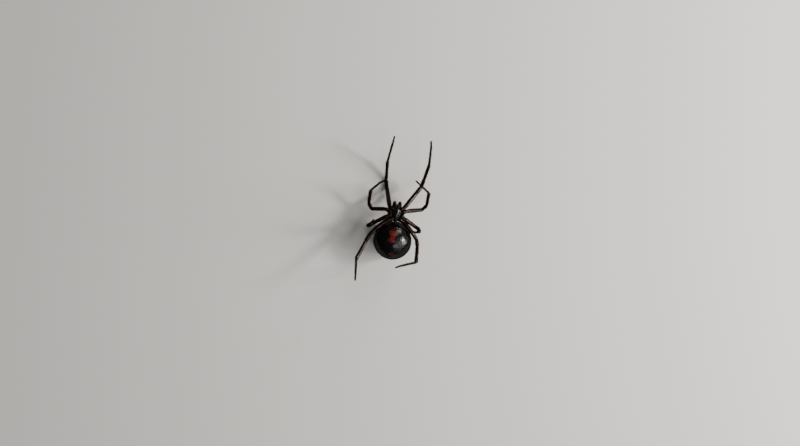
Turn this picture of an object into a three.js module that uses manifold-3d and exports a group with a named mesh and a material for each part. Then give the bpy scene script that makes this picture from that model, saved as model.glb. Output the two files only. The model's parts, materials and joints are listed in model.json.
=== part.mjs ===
// A female black widow spider at life size, lying on its back with its legs reaching up and forward.
// Millimetres. The head end points along +Y, the belly and its red hourglass face up along +Z,
// and the spider's own left side is +X. It rests on a small flat of its back and on one knee.

import * as THREE from 'three';
import { mergeVertices } from 'three/addons/utils/BufferGeometryUtils.js';
import Module from 'manifold-3d';

const wasm = await Module();
wasm.setup();

// Driving dimensions, measured from the middle of the abdomen
const gap = 0.06;
const floorLevel = -3.6;
const hipLevel = 1.75;

const abdomenSize = { halfWidth: 4.12, front: 4.35, rear: 4.08, belly: 3.5, back: 3.9 };
const abdomenTurn = -3;
const abdomenDetail = 8;
const mergeReach = 1e-5;
const backLean = 0.35;
const shoulderTuck = 0.07;
const spinneretMound = { y: -0.8, z: 0.6, height: 0.3, spread: 0.035 };
const bellyMarkDepth = 0.5;

// The front half of the body, placed by its own middle and turned a little to the spider's right
const cephalothoraxAt = { x: -0.2, y: 6.25, turn: 3.3 };
const carapace = { rim: 1.2, underside: 0.2 };

// Outlines of the body plates: how far along the body, and the half width or the height there
const carapaceWidths = [
  [-1.85, 0], [-1.78, 0.6], [-1.3, 1.35], [-0.5, 1.74], [0.25, 1.64],
  [0.9, 1.2], [1.48, 0.9], [1.68, 0.5], [1.7, 0],
];
const carapaceHeights = [
  [-1.85, 0], [-1.7, 0.35], [-1.2, 0.85], [-0.5, 0.95], [0.1, 1.12],
  [0.8, 1.22], [1.3, 1.02], [1.62, 0.62], [1.7, 0],
];
const underbody = { z: 1.7, rise: 0.5, depth: 0.62 };
const underbodyWidths = [
  [-1.6, 0], [-1.45, 0.5], [-0.65, 1.04], [0.2, 1.12], [0.9, 0.85], [1.3, 0.5], [1.45, 0],
];
const sternumPlate = { z: 2.24, rise: 0.26, depth: 0.3 };
const sternumWidths = [
  [-1.2, 0], [-1.1, 0.16], [-0.5, 0.56], [0.2, 0.78], [0.6, 0.66], [0.7, 0.4], [0.72, 0],
];

// Legs: where each pair leaves the body, and its segment lengths and radii from the femur outwards
const segmentNames = ['coxa', 'trochanter', 'femur', 'patella', 'tibia', 'metatarsus', 'tarsus'];
const legPairs = [
  { root: [0.74, 0.66], lengths: [6.5, 1.8, 4.5, 5.6, 2.1], radii: [0.43, 0.36, 0.31, 0.25, 0.25] },
  { root: [1.02, -0.12], lengths: [4.25, 1.35, 3.2, 3.7, 1.6], radii: [0.41, 0.35, 0.32, 0.25, 0.25] },
  { root: [0.95, -0.68], lengths: [3.55, 1.2, 2.2, 2.7, 1.3], radii: [0.41, 0.38, 0.34, 0.25, 0.25] },
  { root: [0.52, -1.32], lengths: [4.94, 1.65, 4.6, 4.4, 1.9], radii: [0.42, 0.38, 0.35, 0.25, 0.25] },
];
const femurBows = [0, 0, 0, 0.16];
const femurBowWay = { y: 0.5, z: 0.6 };
const rootRadii = { root: 0.36, coxa: 0.44, trochanter: 0.42 };
const trochanterShare = 0.3;
const tarsusTip = 0.1;
const tarsusEnd = 0.16;
const legSides = 10;

const bodySides = { left: 1, right: -1 };

// The pose of each leg: where its femur begins, the heading of its femur, patella, tibia, metatarsus and
// tarsus in degrees from +Y towards +X, and their slopes in degrees up from level
const poses = {
  right: [
    { femurAt: [1.52, 0.85], headings: [-18, -15.5, -5, 8, 7], slopes: [-47.6, -10, 27, 45, 48] },
    { femurAt: [2.34, 0.46], headings: [-98, -36, 0, 43, 59], slopes: [-42, 8, 29, 44, 46] },
    { femurAt: [1.76, -0.94], headings: [-126, -129, -123, 43, 25], slopes: [-11.3, 50, 78, 64, 55] },
    { femurAt: [1.66, -1.84], headings: [-138, -160, -161, 171, 172], slopes: [-2, 12, 18, 44, 47] },
  ],
  left: [
    { femurAt: [1.47, 0.88], headings: [29.5, 11, 9.5, -4, -14], slopes: [-18.9, 28, 45, 50, 55] },
    { femurAt: [2.2, 0.45], headings: [74.5, 38, 0, -58, -59], slopes: [-36.5, 14, 32, 44, 42] },
    { femurAt: [1.78, -1.2], headings: [115.6, 119, 165, -107, -79], slopes: [-28.5, 45, 76, 73, 68] },
    { femurAt: [1.66, -1.84], headings: [133.4, 163, 176, -110, -115], slopes: [-13, 28, 41, 45, 42] },
  ],
};

// Mouthparts, eyes and pedicel, in the frame of the cephalothorax
const cheliceraPath = [[0.28, 1.32, 0.95], [0.3, 1.53, 1.4], [0.29, 1.6, 1.8], [0.28, 1.56, 2.12]];
const cheliceraRadii = [0.22, 0.25, 0.24, 0.17];
const fangPath = [[0.32, 1.58, 2.28], [0.22, 1.48, 2.38], [0.1, 1.34, 2.4]];
const fangRadii = [0.09, 0.07, 0.03];
const maxillaPath = [[0.5, 0.92, 1.98], [0.46, 1.08, 2.18], [0.28, 1.26, 2.28]];
const maxillaRadii = [0.2, 0.21, 0.14];
const labiumPath = [[0, 0.86, 2.14], [0, 0.98, 2.2], [0, 1.1, 2.18]];
const labiumRadii = [0.15, 0.17, 0.1];
const palpPath = [
  [0.5, 1.12, 1.85], [0.68, 1.44, 1.66], [0.7, 1.78, 1.5], [0.64, 2.0, 1.8], [0.58, 2.1, 2.4],
];
const palpRadii = [0.2, 0.25, 0.26, 0.27, 0.2];
const pedicelPath = [[0, -1.5, 1.55], [0.02, -2, 1.5], [0.06, -2.7, 1.4]];
const pedicelRadii = [0.32, 0.26, 0.32];
const mouthTube = { steps: 8, sides: 10 };
const palpTube = { steps: 14, sides: 10 };
const eyeRadius = 0.12;
const eyeSink = 0.03;
const eyeFaces = { round: 8, up: 6 };
const headCentreBack = 0.9;
const eyeRows = {
  eye_front_middle: { y: 1.5, across: 0.2 },
  eye_front_side: { y: 1.44, across: 0.52 },
  eye_rear_middle: { y: 1.2, across: 0.2 },
  eye_rear_side: { y: 1.16, across: 0.58 },
};

// The red mark of the belly: half widths from its rear end to its front end
const hourglassHalf = [
  [0.35, -0.6], [0.72, -0.4], [0.86, -0.08], [0.72, 0.2], [0.52, 0.42], [0.44, 0.68],
  [0.52, 0.98], [0.74, 1.28], [0.9, 1.62], [0.92, 2.05], [0.6, 2.5],
];
const hourglassAt = { x: -0.08, turn: -3 };
const hourglassCut = { foot: 1, depth: 4 };

const spinneretPlace = { y: -2.98, z: 2.55, pitch: 38 };
const spinneretRing = [
  { x: 0.2, y: 0.16, radius: 0.17, length: 0.55, lean: 0.1 },
  { x: 0.22, y: -0.2, radius: 0.16, length: 0.5, lean: 0.12 },
  { x: 0.08, y: -0.03, radius: 0.1, length: 0.36, lean: 0 },
];
const spinneretCone = [[0, 0], [1, 0], [0.95, 0.6], [0.55, 1], [0, 1.08]];
const spinneretSides = 9;
const spinneretBase = { radius: 0.44, topRadius: 0.352, height: 0.68, sink: 0.136, sides: 18 };

// Finishes
const finish = (name, color, roughness) => {
  const material = new THREE.MeshStandardMaterial({ color, roughness, metalness: 0 });
  material.name = name;
  return material;
};
const finishes = {
  abdomen: () => finish('black_abdomen', 0x0b0709, 0.12),
  body: () => finish('black_shell', 0x0d0a0b, 0.2),
  leg: () => finish('dark_leg', 0x1c100b, 0.25),
  mark: () => finish('red_mark', 0xc62a17, 0.35),
  eye: () => finish('eye', 0x050406, 0.05),
  mouth: () => finish('brown_mouth', 0x2a1710, 0.35),
};

const radians = (degrees) => THREE.MathUtils.degToRad(degrees);

// Solids: a closed geometry becomes a solid that can be joined and cut, and comes back as a mesh
const solidOf = (geometry) => {
  const bare = geometry.clone();
  bare.deleteAttribute('normal');
  bare.deleteAttribute('uv');
  const merged = mergeVertices(bare, mergeReach);
  const solid = new wasm.Mesh({
    numProp: 3,
    vertProperties: new Float32Array(merged.attributes.position.array),
    triVerts: new Uint32Array(merged.index.array),
  });
  return new wasm.Manifold(solid);
};

const largest = (solid) => solid.decompose().sort((a, b) => b.volume() - a.volume())[0];

const meshOf = (name, solid, material) => {
  const faces = largest(solid).getMesh();
  const geometry = new THREE.BufferGeometry();
  geometry.setAttribute('position', new THREE.BufferAttribute(new Float32Array(faces.vertProperties), 3));
  geometry.setIndex(new THREE.BufferAttribute(new Uint32Array(faces.triVerts), 1));
  geometry.computeVertexNormals();
  const mesh = new THREE.Mesh(geometry, material);
  mesh.name = name;
  return mesh;
};

// A closed skin over rings that all have the same number of points
const skinOver = (rings) => {
  const sides = rings[0].length;
  const positions = [];
  const faces = [];
  rings.forEach((ring) => ring.forEach((point) => positions.push(point.x, point.y, point.z)));
  [rings[0], rings[rings.length - 1]].forEach((ring) => {
    const middle = ring.reduce((sum, point) => sum.add(point), new THREE.Vector3()).divideScalar(sides);
    positions.push(middle.x, middle.y, middle.z);
  });
  const firstCentre = rings.length * sides;
  for (let row = 0; row < rings.length - 1; row += 1) {
    for (let side = 0; side < sides; side += 1) {
      const next = (side + 1) % sides;
      const corners = [[row, side], [row, next], [row + 1, next], [row + 1, side]]
        .map(([ring, corner]) => ring * sides + corner);
      faces.push(corners[0], corners[1], corners[2], corners[0], corners[2], corners[3]);
    }
  }
  const lastRow = (rings.length - 1) * sides;
  for (let side = 0; side < sides; side += 1) {
    const next = (side + 1) % sides;
    faces.push(firstCentre, next, side);
    faces.push(firstCentre + 1, lastRow + side, lastRow + next);
  }
  const geometry = new THREE.BufferGeometry();
  geometry.setAttribute('position', new THREE.Float32BufferAttribute(positions, 3));
  geometry.setIndex(faces);
  return geometry;
};

// Rings of the given radii round a line of points, each turned as little as the bends allow
const ringsAlong = (points, radii, sides) => {
  const along = points.map((point, i) => {
    const before = points[Math.max(i - 1, 0)];
    const after = points[Math.min(i + 1, points.length - 1)];
    return after.clone().sub(before).normalize();
  });
  const up = Math.abs(along[0].z) > 0.9 ? new THREE.Vector3(0, 1, 0) : new THREE.Vector3(0, 0, 1);
  const side = new THREE.Vector3().crossVectors(along[0], up).normalize();
  return points.map((point, i) => {
    if (i > 0) side.applyQuaternion(new THREE.Quaternion().setFromUnitVectors(along[i - 1], along[i]));
    const third = new THREE.Vector3().crossVectors(along[i], side).normalize();
    return Array.from({ length: sides }, (_, k) => {
      const angle = (2 * Math.PI * k) / sides;
      return point.clone()
        .addScaledVector(side, radii[i] * Math.cos(angle))
        .addScaledVector(third, radii[i] * Math.sin(angle));
    });
  });
};

const profile = (points) => {
  const curve = new THREE.SplineCurve(points.map(([along, value]) => new THREE.Vector2(along, value)));
  return (share) => curve.getPoint(share);
};

// Body: the abdomen as one rounded shape, drawn in by an inset for the red mark's recess
const moundDirection = new THREE.Vector3(0, spinneretMound.y, spinneretMound.z).normalize();

const abdomenPoint = (direction, inset) => {
  const d = direction;
  const reach = d.y > 0 ? abdomenSize.front : abdomenSize.rear;
  const height = d.z > 0 ? abdomenSize.belly : abdomenSize.back;
  const tuck = 1 - shoulderTuck * Math.max(d.y, 0) * Math.max(d.z + 0.3, 0);
  const mound = spinneretMound.height * Math.exp(-(1 - d.dot(moundDirection)) / spinneretMound.spread);
  const lean = backLean * Math.max(-d.z, 0) ** 2;
  return new THREE.Vector3(
    d.x * (abdomenSize.halfWidth * tuck - inset + mound),
    d.y * (reach * tuck - inset + mound) + lean,
    d.z * (height - inset + mound),
  );
};

const abdomenSolid = (inset) => {
  const geometry = new THREE.IcosahedronGeometry(1, abdomenDetail);
  const place = geometry.attributes.position;
  const point = new THREE.Vector3();
  for (let i = 0; i < place.count; i += 1) {
    const shaped = abdomenPoint(point.fromBufferAttribute(place, i).normalize(), inset);
    place.setXYZ(i, shaped.x, shaped.y, shaped.z);
  }
  return solidOf(geometry.rotateZ(radians(abdomenTurn)));
};

const floorSize = { across: 80, depth: 10 };
const floorBlock = solidOf(
  new THREE.BoxGeometry(floorSize.across, floorSize.across, floorSize.depth)
    .translate(0, 0, floorLevel - floorSize.depth / 2),
);

const hourglassPrism = (grow) => {
  const right = hourglassHalf.map(([x, y]) => new THREE.Vector2(x + grow, y * (1 + grow / 2)));
  const left = right.map((point) => new THREE.Vector2(-point.x, point.y)).reverse();
  const outline = new THREE.Shape();
  outline.moveTo(right[0].x, right[0].y);
  outline.splineThru(right.slice(1));
  outline.lineTo(left[0].x, left[0].y);
  outline.splineThru(left.slice(1));
  outline.closePath();
  const settings = { depth: hourglassCut.depth, bevelEnabled: false, curveSegments: 2 };
  const prism = new THREE.ExtrudeGeometry(outline, settings);
  return solidOf(prism.rotateZ(radians(hourglassAt.turn)).translate(hourglassAt.x, 0, hourglassCut.foot));
};

const abdomenShell = abdomenSolid(0);
const hourglass = abdomenShell.intersect(hourglassPrism(0)).subtract(abdomenSolid(bellyMarkDepth));
const markRecess = hourglassPrism(gap).subtract(abdomenSolid(bellyMarkDepth + gap));
const abdomen = abdomenShell.subtract(markRecess).subtract(floorBlock);
const abdomenGrown = abdomenSolid(-gap);

// The cephalothorax: a low carapace under the coxae, and the narrower underbody that carries them
const inBodyFrame = (geometry) => geometry
  .rotateZ(radians(cephalothoraxAt.turn))
  .translate(cephalothoraxAt.x, cephalothoraxAt.y, 0);

const bodyPoint = ([x, y, z]) => new THREE.Vector3(x, y, z)
  .applyAxisAngle(new THREE.Vector3(0, 0, 1), radians(cephalothoraxAt.turn))
  .add(new THREE.Vector3(cephalothoraxAt.x, cephalothoraxAt.y, 0));

const dome = ({ widths, stations, sides, low, high, grow }) => {
  const widthAt = profile(widths);
  const rings = [];
  for (let i = 1; i < stations; i += 1) {
    const share = (1 - Math.cos((Math.PI * i) / stations)) / 2;
    const { x: along, y: half } = widthAt(share);
    const lowest = low(along, share);
    const highest = high(along, share);
    const middle = (widths[0][0] + widths[widths.length - 1][0]) / 2;
    const stretch = 1 + grow / (widths[widths.length - 1][0] - middle);
    rings.push(Array.from({ length: sides }, (_, k) => {
      const angle = (-2 * Math.PI * k) / sides;
      const edge = Math.sin(angle) < 0 ? lowest : highest;
      return new THREE.Vector3(
        (half + grow) * Math.cos(angle),
        middle + (along - middle) * stretch,
        edge.base + (edge.rise + grow) * Math.sin(angle),
      );
    }));
  }
  return inBodyFrame(skinOver(rings));
};

const heightAt = profile(carapaceHeights);

const carapaceGeometry = (grow) => dome({
  widths: carapaceWidths,
  stations: 16,
  sides: 20,
  low: (along, share) => ({ base: carapace.rim, rise: heightAt(share).y }),
  high: () => ({ base: carapace.rim, rise: carapace.underside }),
  grow,
});

const underbodyGeometry = (grow) => dome({
  widths: underbodyWidths,
  stations: 10,
  sides: 16,
  low: () => ({ base: underbody.z, rise: underbody.depth }),
  high: () => ({ base: underbody.z, rise: underbody.rise }),
  grow,
});

const sternumGeometry = (grow) => dome({
  widths: sternumWidths,
  stations: 10,
  sides: 16,
  low: () => ({ base: sternumPlate.z, rise: sternumPlate.depth }),
  high: () => ({ base: sternumPlate.z, rise: sternumPlate.rise }),
  grow,
});

const trunk = (grow) => solidOf(carapaceGeometry(grow)).add(solidOf(underbodyGeometry(grow)));

const eyeCentre = ({ y, across }, sign) => {
  const widthAt = profile(carapaceWidths);
  let share = 0;
  while (widthAt(share).x < y) share += 0.001;
  const half = widthAt(share).y;
  const drop = heightAt(share).y * Math.sqrt(1 - (across / half) ** 2);
  const surface = new THREE.Vector3(across, y, carapace.rim - drop);
  const middle = new THREE.Vector3(0, y - headCentreBack, carapace.rim);
  const inward = middle.sub(surface).normalize();
  const centre = surface.addScaledVector(inward, eyeSink);
  return bodyPoint([sign * centre.x, centre.y, centre.z]);
};

const ball = (radius, centre) => solidOf(
  new THREE.SphereGeometry(radius, eyeFaces.round, eyeFaces.up).translate(centre.x, centre.y, centre.z),
);

// Tubes: a smooth line through a few points, with the radius given at each
const smoothTube = (path, radii, sign, steps, sides) => {
  const places = path.map(([x, y, z]) => bodyPoint([sign * x, y, z]));
  const curve = new THREE.CatmullRomCurve3(places, false, 'centripetal');
  const radiusCurve = profile(radii.map((radius, i) => [i, radius]));
  const points = [];
  const ringRadii = [];
  for (let i = 0; i <= steps; i += 1) {
    const share = i / steps;
    points.push(curve.getPoint(share));
    ringRadii.push(radiusCurve(share).y);
  }
  return roundEnds(points, ringRadii, sides);
};

// The ends of a tube are rounded off by two smaller rings beyond its first and last
const roundEnds = (points, radii, sides) => {
  const caps = [{ beyond: 0.8, size: 0.5 }, { beyond: 0.45, size: 0.86 }];
  const capAt = (end, inner, radius) => caps.map(({ beyond, size }) => ({
    point: end.clone().add(end.clone().sub(inner).setLength(radius * beyond)),
    radius: radius * size,
  }));
  const first = capAt(points[0], points[1], radii[0]);
  const last = capAt(points.at(-1), points.at(-2), radii.at(-1)).reverse();
  const rings = [...first, ...points.map((point, i) => ({ point, radius: radii[i] })), ...last];
  const allPoints = rings.map((ring) => ring.point);
  const allRadii = rings.map((ring) => ring.radius);
  return solidOf(skinOver(ringsAlong(allPoints, allRadii, sides)));
};

// Legs: the seven segments of each leg as one line of straights and rounded joints
const legJoints = (pair, pose, sign) => {
  const root = bodyPoint([sign * pair.root[0], pair.root[1], hipLevel]);
  const femurAt = bodyPoint([sign * pose.femurAt[0], pose.femurAt[1], hipLevel]);
  const joints = [root, root.clone().lerp(femurAt, 1 - trochanterShare), femurAt];
  pose.headings.forEach((heading, i) => {
    const level = Math.cos(radians(pose.slopes[i]));
    const step = new THREE.Vector3(
      Math.sin(radians(heading)) * level,
      Math.cos(radians(heading)) * level,
      Math.sin(radians(pose.slopes[i])),
    );
    joints.push(joints[joints.length - 1].clone().addScaledVector(step, pair.lengths[i]));
  });
  return joints;
};

// A joint is a bend of a few rings, narrower in its middle, that reaches further back the sharper it is
const jointWaist = 0.88;
const jointReach = { share: 1.2, least: 0.08 };
const jointSteps = { sharpFrom: 12, sharp: 3, mild: 2 };
const shortSwell = [{ at: 0.5, size: 1.05 }];
const segmentSwell = [
  { at: 0.14, size: 0.97 },
  { at: 0.42, size: 1.04 },
  { at: 0.72, size: 1.0 },
];

const legSolid = (side, i, grow) => {
  const pair = legPairs[i];
  const pose = poses[side][i];
  const sign = bodySides[side];
  const joints = legJoints(pair, pose, sign);
  const radii = [rootRadii.coxa, rootRadii.trochanter, ...pair.radii];
  const points = [joints[0]];
  const ringRadii = [rootRadii.root];
  segmentNames.forEach((name, k) => {
    const start = joints[k];
    const end = joints[k + 1];
    const swells = name === 'trochanter' || name === 'coxa' ? shortSwell : segmentSwell;
    swells.forEach(({ at, size }) => {
      const point = start.clone().lerp(end, at);
      if (name === 'femur') {
        const outward = new THREE.Vector3(sign, femurBowWay.y, femurBowWay.z).normalize();
        point.addScaledVector(outward, femurBows[i] * Math.sin(Math.PI * at));
      }
      points.push(point);
      const tapered = THREE.MathUtils.lerp(radii[k], tarsusEnd, at);
      ringRadii.push(name === 'tarsus' ? tapered : radii[k] * size);
    });
    if (k === segmentNames.length - 1) return;
    const beyond = joints[k + 2];
    const incoming = end.clone().sub(start).normalize();
    const outgoing = beyond.clone().sub(end).normalize();
    const half = incoming.angleTo(outgoing) / 2;
    const thickness = Math.max(radii[k], radii[k + 1]);
    const bendReach = jointReach.share * thickness * Math.sin(half) / Math.cos(half) ** 2;
    const reach = Math.max(bendReach, jointReach.least);
    const corner = new THREE.QuadraticBezierCurve3(
      end.clone().addScaledVector(incoming, -reach),
      end,
      end.clone().addScaledVector(outgoing, reach),
    );
    const bendSteps = half > radians(jointSteps.sharpFrom) ? jointSteps.sharp : jointSteps.mild;
    for (let step = 0; step <= bendSteps; step += 1) {
      const share = step / bendSteps;
      const waist = 1 - (1 - jointWaist) * Math.sin(Math.PI * share);
      points.push(corner.getPoint(share));
      ringRadii.push(THREE.MathUtils.lerp(radii[k], radii[k + 1], share) * waist);
    }
  });
  points.push(joints[joints.length - 1]);
  ringRadii.push(tarsusTip);
  return solidOf(skinOver(ringsAlong(points, ringRadii.map((radius) => radius + grow), legSides)));
};

const group = new THREE.Group();

const sternum = solidOf(sternumGeometry(0));
const grownTrunk = trunk(gap);
const grownSternum = solidOf(sternumGeometry(gap));
let cephalothorax = trunk(0).subtract(grownSternum);

// Eyes sit in sockets of the carapace
Object.entries(bodySides).forEach(([side, sign]) => {
  Object.entries(eyeRows).forEach(([name, row]) => {
    const centre = eyeCentre(row, sign);
    cephalothorax = cephalothorax.subtract(ball(eyeRadius + gap, centre));
    group.add(meshOf(`${name}_${side}`, ball(eyeRadius, centre), finishes.eye()));
  });
});

// Mouthparts meet the trunk, the sternum and each other face to face
const tube = (path, radii, sign, grow = 0) => {
  const grownRadii = radii.map((radius) => radius + grow);
  return smoothTube(path, grownRadii, sign, mouthTube.steps, mouthTube.sides);
};
const labium = tube(labiumPath, labiumRadii, 1).subtract(grownTrunk).subtract(grownSternum);
const grownLabium = tube(labiumPath, labiumRadii, 1, gap);

const mouth = {};
Object.entries(bodySides).forEach(([side, sign]) => {
  const chelicera = tube(cheliceraPath, cheliceraRadii, sign).subtract(grownTrunk);
  const grownChelicera = tube(cheliceraPath, cheliceraRadii, sign, gap);
  const fang = tube(fangPath, fangRadii, sign).subtract(grownChelicera);
  const grownFang = tube(fangPath, fangRadii, sign, gap);
  const maxilla = tube(maxillaPath, maxillaRadii, sign)
    .subtract(grownTrunk).subtract(grownSternum).subtract(grownLabium)
    .subtract(grownChelicera).subtract(grownFang);
  const grownMaxilla = tube(maxillaPath, maxillaRadii, sign, gap);
  const palp = smoothTube(palpPath, palpRadii, sign, palpTube.steps, palpTube.sides)
    .subtract(grownTrunk).subtract(grownMaxilla).subtract(grownChelicera);
  mouth[side] = { chelicera, fang, maxilla, palp };
  group.add(meshOf(`chelicera_${side}`, chelicera, finishes.body()));
  group.add(meshOf(`fang_${side}`, fang, finishes.mouth()));
  group.add(meshOf(`maxilla_${side}`, maxilla, finishes.mouth()));
  group.add(meshOf(`pedipalp_${side}`, palp, finishes.leg()));
});
group.add(meshOf('labium', labium, finishes.mouth()));
group.add(meshOf('sternum', sternum, finishes.body()));

// Legs are cut back to the trunk, the sternum and the leg in front, and flat where a knee touches the floor
Object.keys(bodySides).forEach((side) => {
  legPairs.forEach((pair, i) => {
    let leg = legSolid(side, i, 0).subtract(grownTrunk).subtract(grownSternum).subtract(floorBlock);
    if (i > 0) leg = leg.subtract(legSolid(side, i - 1, gap));
    group.add(meshOf(`leg_${side}_${i + 1}`, leg, finishes.leg()));
  });
});

// The pedicel joins the two halves of the body
const pedicel = tube(pedicelPath, pedicelRadii, 1).subtract(grownTrunk).subtract(abdomenGrown);
group.add(meshOf('pedicel', pedicel, finishes.body()));
group.add(meshOf('cephalothorax', cephalothorax, finishes.body()));

// Spinnerets stand in a ring at the rear of the belly
const spinneret = ({ x, y, radius, length, lean }, sign) => {
  const outline = spinneretCone.map(([across, up]) => new THREE.Vector2(across * radius, up * length));
  const cone = new THREE.LatheGeometry(outline, spinneretSides).rotateX(Math.PI / 2);
  return cone.rotateY(sign * lean).translate(sign * x, y, 0);
};

const placeSpinneret = (geometry) => solidOf(geometry
  .rotateX(radians(spinneretPlace.pitch))
  .translate(0, spinneretPlace.y, spinneretPlace.z)
  .rotateZ(radians(abdomenTurn)));

const spinneretRoot = new THREE.CylinderGeometry(
  spinneretBase.topRadius,
  spinneretBase.radius,
  spinneretBase.height,
  spinneretBase.sides,
);
spinneretRoot.rotateX(Math.PI / 2).translate(0, 0, -spinneretBase.sink);
let spinnerets = placeSpinneret(spinneretRoot);
spinneretRing.forEach((cone) => {
  [1, -1].forEach((sign) => {
    spinnerets = spinnerets.add(placeSpinneret(spinneret(cone, sign)));
  });
});
group.add(meshOf('spinnerets', spinnerets.subtract(abdomenGrown), finishes.mouth()));
group.add(meshOf('abdomen', abdomen, finishes.abdomen()));
group.add(meshOf('hourglass', hourglass, finishes.mark()));

// The origin is the middle of the model's outline, on the floor that it rests on
const outline = new THREE.Box3().setFromObject(group);
const middle = outline.getCenter(new THREE.Vector3());
group.position.set(-middle.x, -middle.y, -floorLevel);

export default group;
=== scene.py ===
"""Dresses a life-size black widow spider, which lies on its back on a pale floor with its belly up."""

import json
import math
import random

import bmesh
import bpy
import numpy as np
from mathutils import Matrix, Vector, noise

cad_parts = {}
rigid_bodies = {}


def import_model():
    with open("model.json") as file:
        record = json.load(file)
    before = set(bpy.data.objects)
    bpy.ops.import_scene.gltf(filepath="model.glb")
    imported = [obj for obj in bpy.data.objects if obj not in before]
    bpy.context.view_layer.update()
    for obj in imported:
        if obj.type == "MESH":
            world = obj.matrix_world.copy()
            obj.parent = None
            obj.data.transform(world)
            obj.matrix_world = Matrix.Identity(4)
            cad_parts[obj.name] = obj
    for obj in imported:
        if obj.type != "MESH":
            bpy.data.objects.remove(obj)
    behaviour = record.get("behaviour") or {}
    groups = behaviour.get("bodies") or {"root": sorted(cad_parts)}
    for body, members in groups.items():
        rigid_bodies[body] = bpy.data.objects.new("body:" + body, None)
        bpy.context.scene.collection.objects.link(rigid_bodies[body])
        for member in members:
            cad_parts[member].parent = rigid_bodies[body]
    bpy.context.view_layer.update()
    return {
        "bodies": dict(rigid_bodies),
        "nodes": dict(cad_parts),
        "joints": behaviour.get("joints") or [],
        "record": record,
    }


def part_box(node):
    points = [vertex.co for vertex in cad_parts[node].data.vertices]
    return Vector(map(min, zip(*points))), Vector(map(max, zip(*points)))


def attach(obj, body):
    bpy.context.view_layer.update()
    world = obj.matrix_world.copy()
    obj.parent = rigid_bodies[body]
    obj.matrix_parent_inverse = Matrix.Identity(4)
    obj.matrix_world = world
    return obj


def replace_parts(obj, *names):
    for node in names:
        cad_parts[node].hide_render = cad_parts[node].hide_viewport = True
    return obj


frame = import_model()

# Shapes are drawn in millimetres from the middle of the abdomen: the head along +Y, the belly along +Z
MM = 0.001
floor_level = -3.6
hip_level = 1.75

abdomen_size = {"half_width": 4.12, "front": 4.35, "rear": 4.08, "belly": 3.5, "back": 3.9}
abdomen_turn = math.radians(-3)
back_lean = 0.35
shoulder_tuck = 0.07
mound_way = Vector((0, -0.8, 0.6)).normalized()
mound_height = 0.3
mound_spread = 0.035

abdomen_low, abdomen_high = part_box("abdomen")
abdomen_middle = Vector((
    (abdomen_low[0] + abdomen_high[0]) / 2,
    abdomen_low[1] + abdomen_size["rear"] * MM,
    abdomen_low[2] - floor_level * MM,
))
into_place = Matrix.Translation(abdomen_middle) @ Matrix.Scale(MM, 4)

cephalothorax_turn = math.radians(3.3)
body_frame = Matrix.Translation((-0.2, 6.25, 0)) @ Matrix.Rotation(cephalothorax_turn, 4, "Z")
abdomen_frame = Matrix.Rotation(abdomen_turn, 4, "Z")

carapace_rim = 1.2
carapace_underside = 0.2
carapace_widths = [
    (-1.95, 0), (-1.88, 0.66), (-1.35, 1.36), (-0.5, 1.74), (0.25, 1.64),
    (0.9, 1.2), (1.48, 0.94), (1.68, 0.5), (1.7, 0),
]
carapace_heights = [
    (-1.85, 0), (-1.7, 0.35), (-1.2, 0.85), (-0.5, 0.95), (0.1, 1.12),
    (0.8, 1.22), (1.3, 1.02), (1.62, 0.62), (1.7, 0),
]
underbody_z, underbody_rise, underbody_depth = 1.7, 0.5, 0.62
underbody_widths = [
    (-1.6, 0), (-1.45, 0.5), (-0.65, 1.04), (0.2, 1.12), (0.9, 0.85), (1.3, 0.5), (1.45, 0),
]
sternum_z, sternum_rise, sternum_depth = 2.22, 0.4, 0.3
sternum_widths = [
    (-1.2, 0), (-1.1, 0.16), (-0.5, 0.54), (0.2, 0.74), (0.6, 0.63), (0.7, 0.38), (0.72, 0),
]
sternum_notches, notch_depth, notch_width = (0.42, -0.08, -0.58), 0.07, 0.12

# Legs: where each pair leaves the body, and its segment lengths and radii from the femur outwards
body_sides = {"left": 1, "right": -1}
leg_pairs = [
    ((0.74, 0.66), (6.5, 1.8, 4.5, 5.6, 2.1), (0.435, 0.365, 0.315, 0.195, 0.15)),
    ((1.02, -0.12), (4.25, 1.35, 3.2, 3.7, 1.6), (0.415, 0.355, 0.325, 0.185, 0.145)),
    ((0.95, -0.68), (3.55, 1.2, 2.2, 2.7, 1.3), (0.415, 0.385, 0.345, 0.18, 0.14)),
    ((0.52, -1.32), (4.94, 1.65, 4.6, 4.4, 1.9), (0.43, 0.385, 0.355, 0.195, 0.15)),
]
coxa_radii = (0.45, 0.46, 0.49, 0.5)
trochanter_radii = (0.43, 0.43, 0.46, 0.47)
trochanter_share = 0.3
femur_bows = (0, 0, 0, 0.16)
femur_bow_way = (0.5, 0.6)

# The pose of each leg: where its femur begins, and the headings from +Y towards +X and the slopes up from
# level of its femur, patella, tibia, metatarsus and tarsus, in degrees
leg_poses = {
    "right": [
        ((1.52, 0.85), (-18, -15.5, -5, 8, 7), (-47.6, -10, 27, 45, 48)),
        ((2.34, 0.46), (-98, -36, 0, 43, 59), (-42, 8, 29, 44, 46)),
        ((1.76, -0.94), (-126, -129, -123, 43, 25), (-11.3, 50, 78, 64, 55)),
        ((1.66, -1.84), (-138, -160, -161, 171, 172), (-2, 12, 18, 44, 47)),
    ],
    "left": [
        ((1.47, 0.88), (29.5, 11, 9.5, -4, -14), (-18.9, 28, 45, 50, 55)),
        ((2.2, 0.45), (74.5, 38, 0, -58, -59), (-36.5, 14, 32, 44, 42)),
        ((1.78, -1.2), (115.6, 119, 165, -107, -79), (-28.5, 45, 76, 73, 68)),
        ((1.66, -1.84), (133.4, 163, 176, -110, -115), (-13, 28, 41, 45, 42)),
    ],
}
leg_segment_names = ("coxa", "trochanter", "femur", "patella", "tibia", "metatarsus", "tarsus")

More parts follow.
